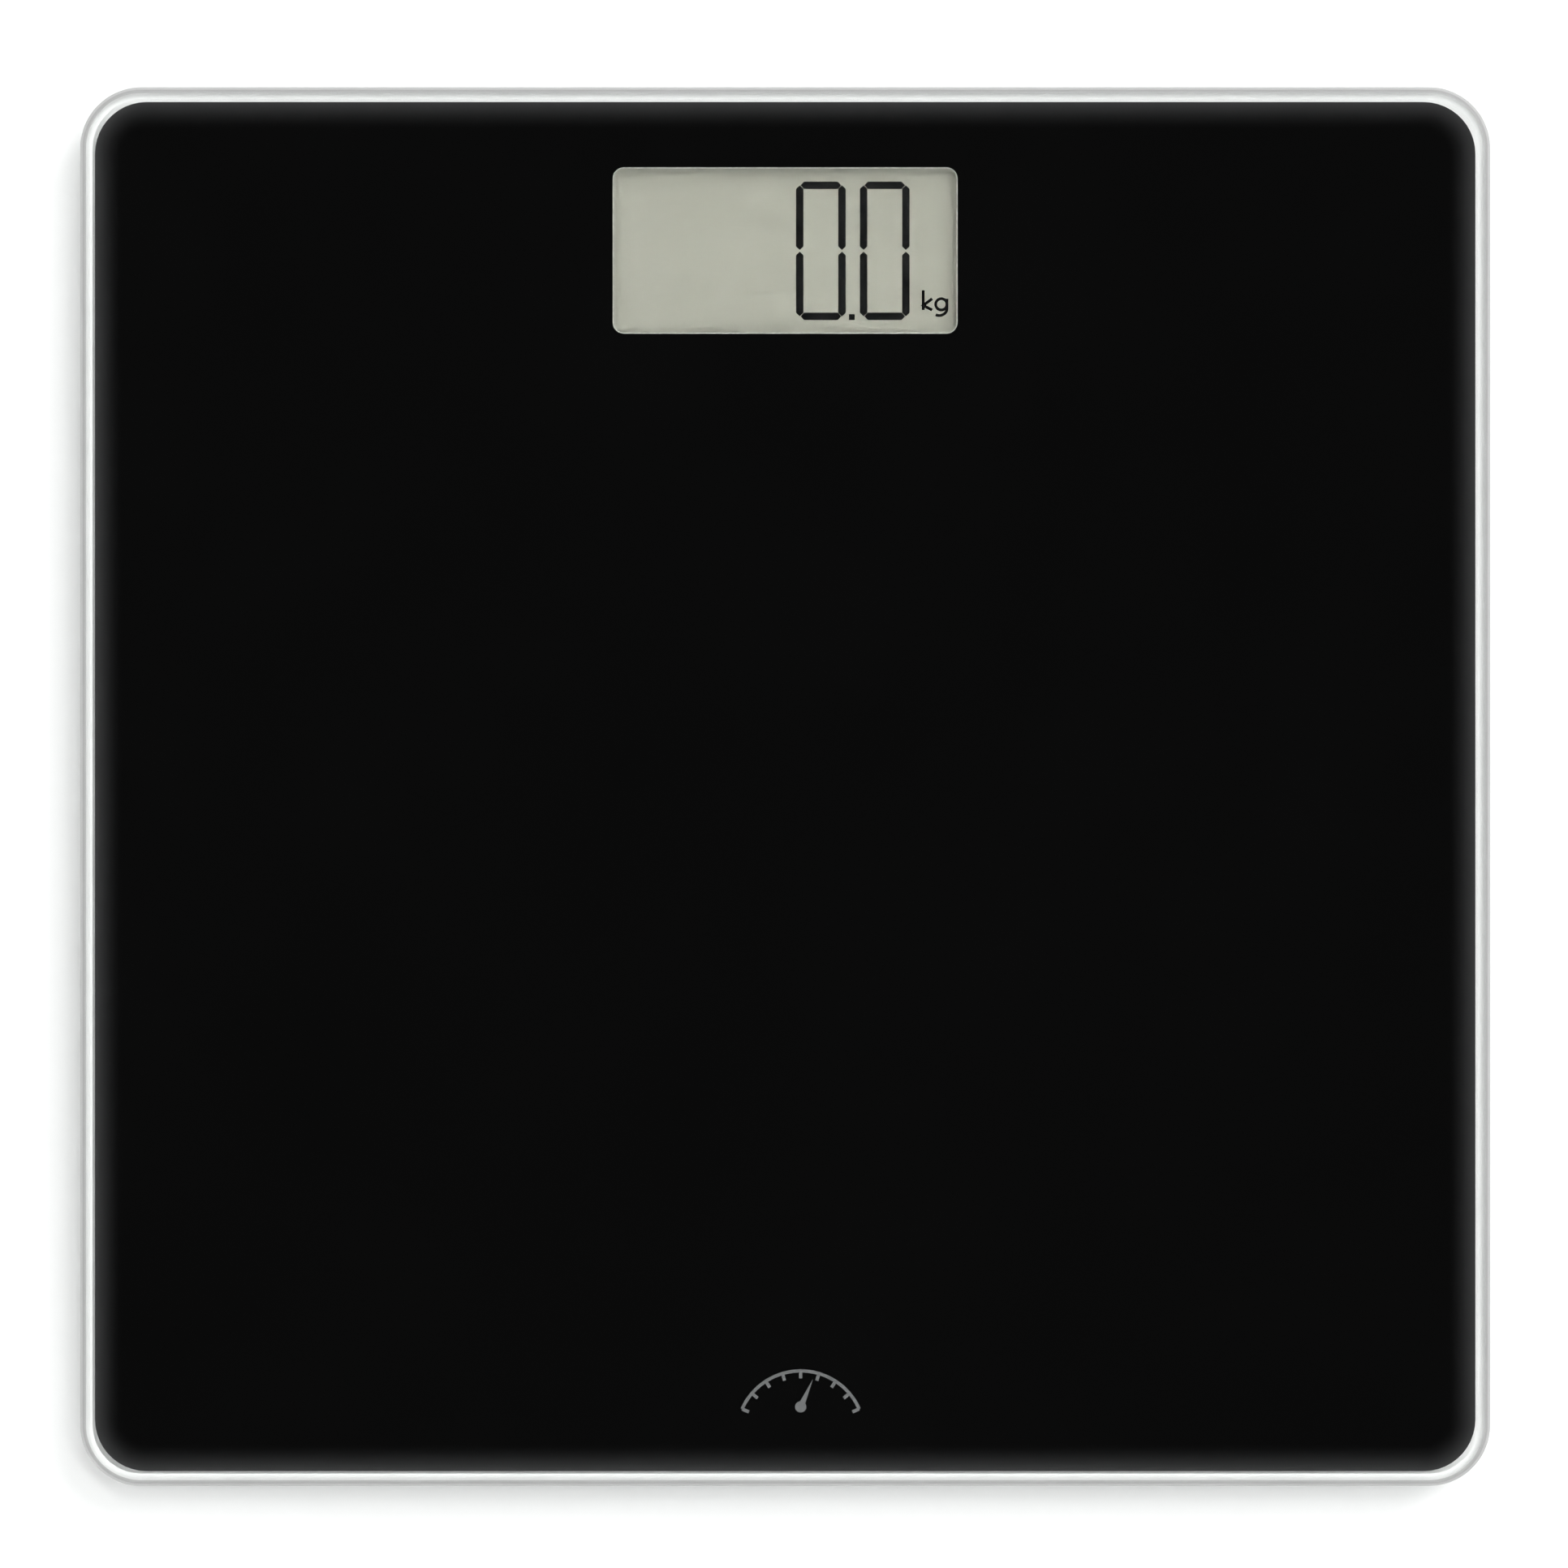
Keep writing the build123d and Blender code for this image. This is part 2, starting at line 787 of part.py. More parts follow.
def make_unit_button():
    cap_bottom = cover_bottom + button_recess
    flange_bottom = button_top - button_flange_thickness
    with BuildPart() as unit_button:
        with BuildSketch(display.offset(cap_bottom)):
            with Locations((button_x, button_y)):
                Circle(button_radius)
        extrude(amount=flange_bottom - cap_bottom)
        chamfer(unit_button.edges().group_by(Axis.Z)[0], length=button_chamfer)
        with BuildSketch(display.offset(flange_bottom)):
            with Locations((button_x, button_y)):
                Circle(button_flange_radius)
        extrude(amount=button_flange_thickness)
    save(unit_button, "unit_button")

    with BuildPart() as unit_switch_plunger:
        with BuildSketch(display.offset(button_top)):
            with Locations((button_x, button_y)):
                Circle(plunger_radius)
        extrude(amount=plunger_length)
    save(unit_switch_plunger, "unit_switch_plunger")

    with BuildPart() as unit_switch:
        switch_bottom = board_bottom - switch_height
        with BuildSketch(display.offset(switch_bottom)):
            with Locations((button_x, button_y)):
                Rectangle(switch_size, switch_size)
        extrude(amount=switch_height)
        chamfer(unit_switch.edges().filter_by(Axis.Z), length=switch_corner_cut)
        with BuildSketch(display.offset(switch_bottom)):
            with Locations((button_x, button_y)):
                Circle(plunger_radius + plunger_clearance)
        extrude(amount=switch_bore_depth, mode=Mode.SUBTRACT)
    save(unit_switch, "unit_switch")


# ---- feet ----

def corner_plane(side, end):
    """Frame of one foot: its local +X points to the platform's centre line."""
    return Plane(origin=(side * foot_x, end * foot_y, 0), x_dir=(-side, 0, 0), z_dir=(0, 0, 1))


def make_foot_housing(name, corner):
    inner_radius = cup_radius - cup_wall
    cell_bed = cell_size + 2 * cell_clearance
    with BuildPart() as foot_housing:
        with BuildSketch(corner.offset(cup_bottom)):
            Circle(cup_radius)
        extrude(amount=housing_top - cup_bottom)
        chamfer(foot_housing.edges().group_by(Axis.Z)[0], length=cup_chamfer)
        with BuildSketch(corner.offset(cup_bottom)):
            Circle(cup_lip_radius)
        extrude(amount=cup_lip_thickness, mode=Mode.SUBTRACT)
        with BuildSketch(corner.offset(cup_bottom + cup_lip_thickness)):
            Circle(inner_radius)
        extrude(amount=cup_plate_bottom - cup_bottom - cup_lip_thickness, mode=Mode.SUBTRACT)

        # square seat that carries the frame of the load cell, and walls that locate it
        with BuildSketch(corner.offset(cell_top)):
            Rectangle(cell_size, cell_size)
            Rectangle(cell_size - 2 * cell_frame, cell_size - 2 * cell_frame, mode=Mode.SUBTRACT)
        extrude(amount=cell_recess)
        with BuildSketch(corner.offset(cell_bottom)):
            Circle(inner_radius)
            RectangleRounded(cell_bed, cell_bed, cell_corner_radius, mode=Mode.SUBTRACT)
            Rectangle(cell_bed / 2, 2 * cup_radius, mode=Mode.SUBTRACT)
            Rectangle(2 * cup_radius, cell_bed / 2, mode=Mode.SUBTRACT)
        extrude(amount=cup_plate_bottom - cell_bottom)

        # slot for the lead, from above the load cell out through the wall
        slot_start = cell_size / 2 - cell_frame - lead_slot_overrun
        slot_length = cup_radius + lead_slot_overrun - slot_start
        with BuildSketch(corner.offset(cell_top)):
            with Locations((slot_start + slot_length / 2, 0)):
                Rectangle(slot_length, lead_slot_width)
        extrude(amount=housing_top - cell_top, mode=Mode.SUBTRACT)
    save(foot_housing, name)


def make_foot_tape(corners):
    slot_start = cell_size / 2 - cell_frame - lead_slot_overrun
    slot_length = cup_radius + lead_slot_overrun - slot_start
    with BuildPart() as foot_tape:
        for corner in corners:
            with BuildSketch(corner.offset(housing_top)):
                Circle(cup_radius)
                with Locations((slot_start + slot_length / 2, 0)):
                    Rectangle(slot_length, lead_slot_width, mode=Mode.SUBTRACT)
            extrude(amount=tape_thickness)
    save(foot_tape, "foot_tape")


def make_load_cell(name, corner):
    tongue_side = cell_tongue_width / 2 + cell_slot / 2
    root = cell_size / 2 - cell_frame - cell_slot
    slot_length = root - cell_tongue_tip + cell_slot
    with BuildPart() as load_cell:
        with BuildSketch(corner.offset(cell_bottom)):
            RectangleRounded(cell_size, cell_size, cell_corner_radius)
            with Locations((cell_tongue_tip - cell_slot + slot_length / 2, 0)):
                with GridLocations(0, 2 * tongue_side, 1, 2):
                    Rectangle(slot_length, cell_slot, mode=Mode.SUBTRACT)
            with Locations((cell_tongue_tip - cell_slot / 2, 0)):
                Rectangle(cell_slot, 2 * tongue_side + cell_slot, mode=Mode.SUBTRACT)
        extrude(amount=cell_thickness)
    save(load_cell, name)


def make_gauge_potting(name, corner):
    with BuildPart() as gauge_potting:
        with BuildSketch(corner.offset(cell_top)):
            with Locations((potting_start + potting_length / 2, 0)):
                Rectangle(potting_length, potting_width)
        extrude(amount=potting_height)
        fillet(gauge_potting.edges().filter_by(Axis.Z), radius=potting_corner_radius)
    save(gauge_potting, name)


def make_foot(name, corner):
    arm_top = cup_bottom + cup_lip_thickness + hook_gap + hook_height
    arm_radius = arm_reach - arm_thickness / 2 - arm_set_back
    hook_radius = (arm_reach + hook_reach) / 2 - hook_set_back
    with BuildPart() as foot:
        with BuildSketch(corner.offset(disc_bottom)):
            Circle(disc_radius)
        extrude(amount=disc_thickness)
        fillet(foot.edges().group_by(Axis.Z)[0], radius=disc_edge_round)
        with BuildSketch(corner.offset(disc_bottom)):
            Circle(pad_radius)
        extrude(amount=pad_bite, mode=Mode.SUBTRACT)

        # boss and nub that push on the tongue of the load cell
        with BuildSketch(corner.offset(disc_top)):
            Circle(boss_radius)
        extrude(amount=cell_bottom - nub_height - disc_top)
        with BuildSketch(corner.offset(cell_bottom - nub_height)):
            Circle(nub_radius)
        extrude(amount=nub_height)

        # ribs between the boss and the snap arms
        with BuildSketch(corner.offset(disc_top)):
            with PolarLocations(arm_reach / 2, arm_count, start_angle=arm_start_angle):
                Rectangle(arm_reach - 2 * rib_end_gap, rib_width)
        extrude(amount=rib_height)

        # snap arms, with hooks above the lip of the housing
        with BuildSketch(corner.offset(disc_top)):
            with PolarLocations(arm_radius, arm_count, start_angle=arm_start_angle):
                Rectangle(arm_thickness, arm_width)
        extrude(amount=arm_top - disc_top)
        with BuildSketch(corner.offset(arm_top - hook_height)):
            with PolarLocations(hook_radius, arm_count, start_angle=arm_start_angle):
                Rectangle(hook_reach - arm_reach, arm_width)
        extrude(amount=hook_height)
    save(foot, name)


def make_foot_pad(name, corner):
    with BuildPart() as foot_pad:
        with BuildSketch(corner):
            Circle(pad_radius)
        extrude(amount=pad_height)
        fillet(foot_pad.edges().group_by(Axis.Z)[0], radius=pad_edge_round)
        with BuildSketch(corner):
            for step in range(pad_groove_count):
                radius = pad_radius - pad_groove_pitch * (step + 1)
                Circle(radius)
                Circle(radius - pad_groove_width, mode=Mode.SUBTRACT)
        extrude(amount=pad_groove_depth, mode=Mode.SUBTRACT)
    save(foot_pad, name)


# ---- sensor leads ----

def lead_route(side, end, shift):
    """Points and bend radii of one core, from the load cell to the board."""
    def local_x(u):
        return side * (foot_x - u)

    rise_start_u = cell_size / 2
    rise_end_u = cup_radius - lead_rise_inset
    start_y = end * foot_y + shift
    points = [
        (local_x(lead_start_u), start_y, lead_start_z),
        (local_x(rise_start_u), start_y, lead_start_z),
        (local_x(rise_end_u), start_y, lead_top_z),
    ]
    radii = [lead_rise_radius, lead_rise_radius]
    end_y = start_y
    if end < 0:
        run_x = side * (lead_run_x + shift)
        end_y = lead_back_y + shift
        points.append((run_x, start_y, lead_top_z))
        points.append((run_x, end_y, lead_top_z))
        radii.append(lead_turn_radius - shift)
        radii.append(lead_turn_radius + shift)
    points.append((side * lead_pad_x, end_y, lead_top_z))
    points.append((side * lead_pad_x, end_y, board_top))
    radii.append(lead_drop_radius)
    return points, radii


def make_sensor_lead(name, side, end):
    expected_volume = 0.0
    with BuildPart() as sensor_lead:
        for core in (-1, 0, 1):
            points, radii = lead_route(side, end, core * core_pitch)
            with BuildLine() as path:
                FilletPolyline(*points, radius=radii)
            route = path.wire()
            with BuildSketch(Plane(origin=route @ 0, z_dir=route % 0)):
                Circle(core_radius)
            sweep(path=route)
            expected_volume += math.pi * core_radius**2 * route.length
        print(name, "radii", radii, "volume over section times length",
              round(sensor_lead.part.volume / expected_volume, 4))
    save(sensor_lead, name)


def make_lead_cover(name, side):
    length = lead_cover_end - lead_cover_start
    centre = Plane((side * lead_run_x, (lead_cover_start + lead_cover_end) / 2, 0))
    channel_top = lead_top_z - core_radius - lead_cover_gap
    with BuildPart() as lead_cover:
        with BuildSketch(centre.offset(channel_top - lead_cover_web)):
            Rectangle(lead_cover_width, length)
        extrude(amount=print_bottom - channel_top + lead_cover_web)
        chamfer(
            lead_cover.edges().group_by(Axis.Z)[0].filter_by(Axis.Y), length=lead_cover_web / 2
        )
        with BuildSketch(centre.offset(channel_top)):
            Rectangle(lead_cover_width - 2 * lead_cover_wall, length)
        extrude(amount=print_bottom - channel_top, mode=Mode.SUBTRACT)
    save(lead_cover, name)


# ---- the whole scale ----

make_glass_platform()
make_platform_print()

make_display_tape()
make_window_gasket()
make_display_housing()
make_rear_cover()
make_screws(
    "cover_screws", display_back.offset(-cover_bottom), screw_spacing_x, screw_spacing_y, screw_length
)

make_plate(
    "lcd_polarizer", front_glass_top, polarizer_width, polarizer_depth, polarizer_thickness
)
make_plate(
    "lcd_front_glass", front_glass_bottom, cell_glass_width, cell_glass_depth, front_glass_thickness
)
make_lcd_digits()
make_plate(
    "lcd_rear_glass", rear_glass_bottom, cell_glass_width, rear_glass_depth, rear_glass_thickness
)
make_plate(
    "lcd_reflector", reflector_bottom, cell_glass_width, rear_glass_depth, reflector_thickness
)
make_lcd_holder()

make_main_board()
make_screws(
    "board_screws",
    display_back.offset(-board_bottom),
    board_screw_spacing_x,
    board_screw_spacing_y,
    board_screw_length,
)
make_controller_blob()
make_board_components()

cell_y = make_battery()
make_battery_contacts(cell_y)
make_battery_door()
make_unit_button()

corners = {
    "front_left": (-1, 1),
    "front_right": (1, 1),
    "back_left": (-1, -1),
    "back_right": (1, -1),
}
for corner_name, (side, end) in corners.items():
    corner = corner_plane(side, end)
    make_foot_housing(f"foot_housing_{corner_name}", corner)
    make_load_cell(f"load_cell_{corner_name}", corner)
    make_gauge_potting(f"gauge_potting_{corner_name}", corner)
    make_foot(f"foot_{corner_name}", corner)
    make_foot_pad(f"foot_pad_{corner_name}", corner)
    make_sensor_lead(f"sensor_lead_{corner_name}", side, end)
make_foot_tape([corner_plane(side, end) for side, end in corners.values()])
make_lead_cover("lead_cover_left", -1)
make_lead_cover("lead_cover_right", 1)
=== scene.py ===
import json
import math

import bmesh
import bpy
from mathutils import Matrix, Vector


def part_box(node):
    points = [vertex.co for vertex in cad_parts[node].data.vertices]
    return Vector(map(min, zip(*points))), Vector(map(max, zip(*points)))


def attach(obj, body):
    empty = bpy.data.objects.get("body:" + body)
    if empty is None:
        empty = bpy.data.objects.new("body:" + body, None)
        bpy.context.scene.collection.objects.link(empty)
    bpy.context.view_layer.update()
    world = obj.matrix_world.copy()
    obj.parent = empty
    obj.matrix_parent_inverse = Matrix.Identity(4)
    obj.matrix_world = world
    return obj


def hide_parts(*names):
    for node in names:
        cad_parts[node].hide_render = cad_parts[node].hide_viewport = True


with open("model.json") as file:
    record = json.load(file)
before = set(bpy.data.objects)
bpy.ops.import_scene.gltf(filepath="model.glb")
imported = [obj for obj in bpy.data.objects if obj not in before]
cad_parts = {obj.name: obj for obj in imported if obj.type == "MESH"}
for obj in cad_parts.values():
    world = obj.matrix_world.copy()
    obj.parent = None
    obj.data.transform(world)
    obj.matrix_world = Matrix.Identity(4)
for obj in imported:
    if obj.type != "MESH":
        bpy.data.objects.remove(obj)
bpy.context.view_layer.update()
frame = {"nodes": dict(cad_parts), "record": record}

# Looks of a glass bathroom scale with a display under the glass. Units are metres, in the frame
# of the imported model: +Z up, +Y to the display end, the origin on the floor under the middle.

glass_low, glass_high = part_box("glass_platform")
print_low, print_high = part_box("platform_print")

MM = 0.001
QUARTER_TURN = math.radians(90)

# Platform glass
GLASS_CORNER = 13.0 * MM
RIM_HEIGHT = 2.6 * MM  # from a flat face to the height where the rim is widest
TOP_RIM_WIDTH = 1.3 * MM
LOWER_RIM_WIDTH = 2.6 * MM
RIM_STEPS = 12
CORNER_STEPS = 28
INK_BITE = 0.02 * MM  # how far the underside reaches into the ink bonded to it
GLASS_IOR = 1.52
GLASS_TINT = (0.965, 0.972, 0.966)
GLASS_WAVE = 0.02 * MM
# Painted light and shade on the ground rim: its grey is set by height, paler low down and painted
# darkest at the upper arris.
RIM_GREY_AND_PAINTED_SHADE = ((0.45, 0.76), (0.58, 0.66), (0.90, 0.62), (0.95, 0.40))  # height in the glass, grey
RIM_CLARITY = 0.4
POLISHED_SHADOW = (0.9, 0.93, 0.915)  # share of the lamps' light that passes
GROUND_SHADOW = (0.45, 0.47, 0.46)

# Ink on the back of the glass
PRINT_BLACK = (0.0009, 0.0009, 0.0009)
# Painted light at the ink's edges: the ink is paler near the rim, standing in for light that the
# ground rim lets in.
PRINT_EDGE_PAINTED_LIGHT = (0.0305, 0.0303, 0.031)
PRINT_PAINTED_LIGHT_WIDTH = 6.0 * MM
PRINT_PAINTED_LIGHT_FALL = 2.2
PRINT_CORNER = 11.0 * MM
MARK_GREY = (0.12, 0.121, 0.1235)

# Camera, straight above the middle
CAMERA_HEIGHT = 6.0
PICTURE_WIDTH = 333.5 * MM
SENSOR_WIDTH = 36.0
AIM = Vector((-0.25 * MM, 0.55 * MM, glass_high.z))

# Soft boxes
LAMP_TARGET = Vector((0, 0, 0.02))
KEY_PLACE = (1.85, 1.85, 5.0)
KEY_SIZE = 2.2
KEY_POWER = 210
OVERHEAD_HEIGHT = 5.0
OVERHEAD_REACH = 0.6
OVERHEAD_SIZE = 0.55
OVERHEAD_POWER = 33

# Studio
WALLS = (0.35, (0.62, 0.62, 0.62))  # height of the direction, colour
CEILING = (0.85, (0.045, 0.045, 0.045))
FLOOR_HALF_SIZE = 4.0
FLOOR_DARK = (0.895, 0.895, 0.895)
FLOOR_LIGHT = (0.905, 0.905, 0.905)


# ---- shader helpers ----

NOISE_LOW, NOISE_HIGH = 0.3, 0.7  # a noise has most of its values between these


def new_material(name):
    """A node material, with its tree and its Principled shader."""
    material = bpy.data.materials.new(name)
    material.use_nodes = True
    tree = material.node_tree
    return material, tree, tree.nodes["Principled BSDF"]


def feed(tree, node, inputs):
    """Set inputs of a node. A value is a number, a colour or another node's output."""
    for key, value in inputs.items():
        if isinstance(value, bpy.types.NodeSocket):
            tree.links.new(value, node.inputs[key])
        else:
            node.inputs[key].default_value = value


def add(tree, kind, inputs=None, **settings):
    """Add a node with its settings and inputs."""
    node = tree.nodes.new(kind)
    for key, value in settings.items():
        setattr(node, key, value)
    feed(tree, node, inputs or {})
    return node


def math_node(tree, operation, first, second=0.0, clamp=False):
    inputs = {0: first, 1: second}
    return add(tree, "ShaderNodeMath", inputs, operation=operation, use_clamp=clamp).outputs[0]


def object_point(tree):
    return add(tree, "ShaderNodeTexCoord").outputs["Object"]


def split_axes(tree, vector):
    return add(tree, "ShaderNodeSeparateXYZ", {"Vector": vector}).outputs


def noise(tree, feature_size, detail, point=None, distortion=0.0):
    """Soft noise between 0 and 1, with features of about that size in metres."""
    inputs = {
        "Vector": point or object_point(tree),
        "Scale": 1 / feature_size,
        "Detail": detail,
        "Distortion": distortion,
    }
    return add(tree, "ShaderNodeTexNoise", inputs).outputs["Fac"]


def spread(tree, factor, low, high):
    """Map the middle of a noise to the range from low to high."""
    inputs = {
        "Value": factor,
        "From Min": NOISE_LOW,
        "From Max": NOISE_HIGH,
        "To Min": low,
        "To Max": high,
    }
    return add(tree, "ShaderNodeMapRange", inputs).outputs["Result"]


def tone_ramp(tree, factor, stops, interpolation="LINEAR"):
    """Colour by a factor. The stops are pairs of a position and a colour, in rising order."""
    node = add(tree, "ShaderNodeValToRGB", {"Fac": factor})
    node.color_ramp.interpolation = interpolation
    for position, colour in stops[2:]:
        node.color_ramp.elements.new(position)
    for element, (position, colour) in zip(node.color_ramp.elements, stops):
        element.position = position
        element.color = (*colour, 1)
    return node.outputs["Color"]


def two_tone(tree, factor, dark, light):
    return tone_ramp(tree, factor, ((NOISE_LOW, dark), (NOISE_HIGH, light)))


def mix_colours(tree, factor, first, second, blend_type):
    inputs = {"Factor": factor, "A": first, "B": second}
    node = add(tree, "ShaderNodeMix", inputs, data_type="RGBA", blend_type=blend_type)
    return node.outputs["Result"]


def shade(colour, amount):
    return tuple(min(1.0, channel * amount) for channel in colour)


def bump(tree, height, depth):
    return add(tree, "ShaderNodeBump", {"Height": height, "Distance": depth}).outputs["Normal"]


def show(tree, shader):
    tree.links.new(shader.outputs[0], tree.nodes["Material Output"].inputs["Surface"])


def let_lamps_through(tree, surface, passed):
    """Make the surface clear for rays that look for lamps, so that glass casts no black shadow."""
    clear = add(tree, "ShaderNodeBsdfTransparent", {"Color": (*passed, 1)})
    seeks_lamp = add(tree, "ShaderNodeLightPath").outputs["Is Shadow Ray"]
    inputs = {0: seeks_lamp, 1: surface.outputs[0], 2: clear.outputs[0]}
    show(tree, add(tree, "ShaderNodeMixShader", inputs))


# ---- materials ----

def polished_glass():
    """The flat faces of the platform: clear float glass with a trace of green and a slow wave."""
    material, tree, surface = new_material("polished_glass")
    wave = noise(tree, 60 * MM, detail=1)
    feed(tree, surface, {
        "Base Color": (*GLASS_TINT, 1),
        "Roughness": 0.0,
        "IOR": GLASS_IOR,
        "Transmission Weight": 1.0,
        "Normal": bump(tree, wave, GLASS_WAVE),
    })
    let_lamps_through(tree, surface, POLISHED_SHADOW)
    return material


def ground_glass():
    """The rounded rim: ground glass, half clear, with painted light and shade by height: paler
    below and darkest at its upper arris.
    """
    material, tree, surface = new_material("ground_glass")
    grit = noise(tree, 0.25 * MM, detail=4)
    cloud = noise(tree, 9 * MM, detail=3)
    height = split_axes(tree, object_point(tree))["Z"]
    span = {"Value": height, "From Min": glass_low.z, "From Max": glass_high.z}
    level = add(tree, "ShaderNodeMapRange", span).outputs["Result"]
    # Painted light and shade: the rim's grey is paler low down and darkest at the upper arris.
    stops = [(position, (grey, grey * 1.005, grey)) for position, grey in RIM_GREY_AND_PAINTED_SHADE]
    tone = tone_ramp(tree, level, stops)
    clouds = two_tone(tree, cloud, (0.93, 0.925, 0.93), (1.0, 0.99, 1.0))
    feed(tree, surface, {
        "Base Color": mix_colours(tree, 0.5, tone, clouds, "MULTIPLY"),
        "Roughness": spread(tree, grit, 0.42, 0.58),
        "IOR": GLASS_IOR,
        "Transmission Weight": RIM_CLARITY,
        "Normal": bump(tree, grit, 0.02 * MM),
    })
    let_lamps_through(tree, surface, GROUND_SHADOW)
    return material


def ink_finish(tree, surface, colour):
    """Ink bonded to glass: it has no gloss of its own."""
    grain = noise(tree, 0.4 * MM, detail=2)
    feed(tree, surface, {
        "Base Color": colour,
        "Roughness": spread(tree, grain, 0.5, 0.62),
        "Specular IOR Level": 0.0,
    })


def black_print():
    """Black ink on the back of the glass, with painted light near its edges: paler there, standing
    in for light that comes in through the ground rim.
    """
    material, tree, surface = new_material("black_print")
    half = (print_high - print_low) / 2
    axes = split_axes(tree, object_point(tree))
    outside = []
    for axis, half_size in (("X", half.x), ("Y", half.y)):
        distance = math_node(tree, "ABSOLUTE", axes[axis])
        beyond = math_node(tree, "SUBTRACT", distance, half_size - PRINT_CORNER)
        outside.append(math_node(tree, "MAXIMUM", beyond, 0.0))
    squares = [math_node(tree, "MULTIPLY", value, value) for value in outside]
    reach = math_node(tree, "SQRT", math_node(tree, "ADD", *squares))
    # Painted light: the ink gets paler within this width of its rounded edge.
    painted_light = math_node(tree, "SUBTRACT", reach, PRINT_CORNER - PRINT_PAINTED_LIGHT_WIDTH)
    painted_light = math_node(tree, "DIVIDE", painted_light, PRINT_PAINTED_LIGHT_WIDTH, clamp=True)
    painted_light = math_node(tree, "POWER", painted_light, PRINT_PAINTED_LIGHT_FALL)
    cloud = noise(tree, 35 * MM, detail=3)
    ink = two_tone(tree, cloud, shade(PRINT_BLACK, 0.85), shade(PRINT_BLACK, 1.15))
    ink_finish(tree, surface, mix_colours(tree, painted_light, ink, (*PRINT_EDGE_PAINTED_LIGHT, 1), "MIX"))
    return material


def grey_print():
    """Grey ink of the small mark."""
    material, tree, surface = new_material("mark_print")
    cloud = noise(tree, 3 * MM, detail=3)
    ink_finish(tree, surface, two_tone(tree, cloud, shade(MARK_GREY, 0.95), shade(MARK_GREY, 1.05)))
    return material


def plastic(name, colour, roughness, grain_size=0.5, grain_depth=0.03, mottle=0.08):
    """Moulded plastic with a fine spark-eroded grain, sized in mm, and faint mottling."""
    material, tree, surface = new_material(name)
    cloud = noise(tree, 14 * MM, detail=4)
    grain = noise(tree, grain_size * MM, detail=3)
    feed(tree, surface, {
        "Base Color": two_tone(tree, cloud, shade(colour, 1 - mottle), shade(colour, 1 + mottle)),
        "Roughness": spread(tree, grain, roughness - 0.07, roughness + 0.07),
        "Normal": bump(tree, grain, grain_depth * MM),
    })
    return material


def rubber(name, colour, roughness=0.75, bloom=0.0175):
    """Soft rubber with a pale dry bloom and a pebbled skin."""
    material, tree, surface = new_material(name)
    dust = noise(tree, 6 * MM, detail=5, distortion=0.6)
    pebbles = noise(tree, 0.35 * MM, detail=2)
    feed(tree, surface, {
        "Base Color": two_tone(tree, dust, colour, tuple(channel + bloom for channel in colour)),
        "Roughness": spread(tree, dust, roughness - 0.08, roughness + 0.1),
        "Normal": bump(tree, pebbles, 0.04 * MM),
    })
    return material


def foam(name, colour):
    """Closed-cell foam tape, seen by its cut edge."""
    material, tree, surface = new_material(name)
    inputs = {"Vector": object_point(tree), "Scale": 1 / (0.3 * MM)}
    cells = add(tree, "ShaderNodeTexVoronoi", inputs).outputs["Distance"]
    feed(tree, surface, {
        "Base Color": two_tone(tree, cells, shade(colour, 0.75), shade(colour, 1.15)),
        "Roughness": 0.9,
        "Specular IOR Level": 0.15,
        "Normal": bump(tree, cells, 0.05 * MM),
    })
    return material


def metal(name, colour, roughness, stretch=(1.0, 1.0, 1.0), scratch_size=0.4):
    """Sheet or plated metal. stretch draws the scratches, sized in mm, out along one axis."""
    material, tree, surface = new_material(name)
    inputs = {"Vector": object_point(tree), "Scale": stretch}
    stretched = add(tree, "ShaderNodeMapping", inputs).outputs["Vector"]
    scratches = noise(tree, scratch_size * MM, detail=5, point=stretched)
    stain = noise(tree, 5 * MM, detail=3)
    feed(tree, surface, {
        "Base Color": two_tone(tree, stain, shade(colour, 0.9), shade(colour, 1.05)),
        "Metallic": 1.0,
        "Roughness": spread(tree, scratches, roughness - 0.08, roughness + 0.1),
        "Normal": bump(tree, scratches, 0.01 * MM),
    })
    return material


def pane(name, tint, gloss, roughness):
    """A thin sheet bonded in a stack: light goes straight through, with a faint sheen on it."""
    material, tree, surface = new_material(name)
    tree.nodes.remove(surface)
    haze = noise(tree, 3 * MM, detail=3)
    clear = add(tree, "ShaderNodeBsdfTransparent", {"Color": (*tint, 1)})
    sheen_roughness = spread(tree, haze, roughness - 0.04, roughness + 0.04)
    sheen = add(tree, "ShaderNodeBsdfGlossy", {"Roughness": sheen_roughness})
    share = spread(tree, haze, gloss * 0.9, gloss * 1.1)
    inputs = {0: share, 1: clear.outputs[0], 2: sheen.outputs[0]}
    show(tree, add(tree, "ShaderNodeMixShader", inputs))
    return material


def reflector(name, colour):
    """Backing of the display: even grey-green film with a very fine sparkle."""
    material, tree, surface = new_material(name)
    sparkle = noise(tree, 0.12 * MM, detail=2)
    cloud = noise(tree, 25 * MM, detail=2)
    feed(tree, surface, {
        "Base Color": two_tone(tree, sparkle, shade(colour, 0.985), shade(colour, 1.015)),
        "Roughness": spread(tree, cloud, 0.55, 0.62),
        "Specular IOR Level": 0.1,
    })
    return material


def crystal_black():
    """Dark liquid crystal of the lit segments: no gloss, hardly any light back."""
    material, tree, surface = new_material("lcd_black")
    cloud = noise(tree, 2 * MM, detail=2)
    feed(tree, surface, {
        "Base Color": two_tone(tree, cloud, (0.0003, 0.0003, 0.0003), (0.0006, 0.0006, 0.0006)),
        "Roughness": 0.8,
        "Specular IOR Level": 0.0,
    })
    return material


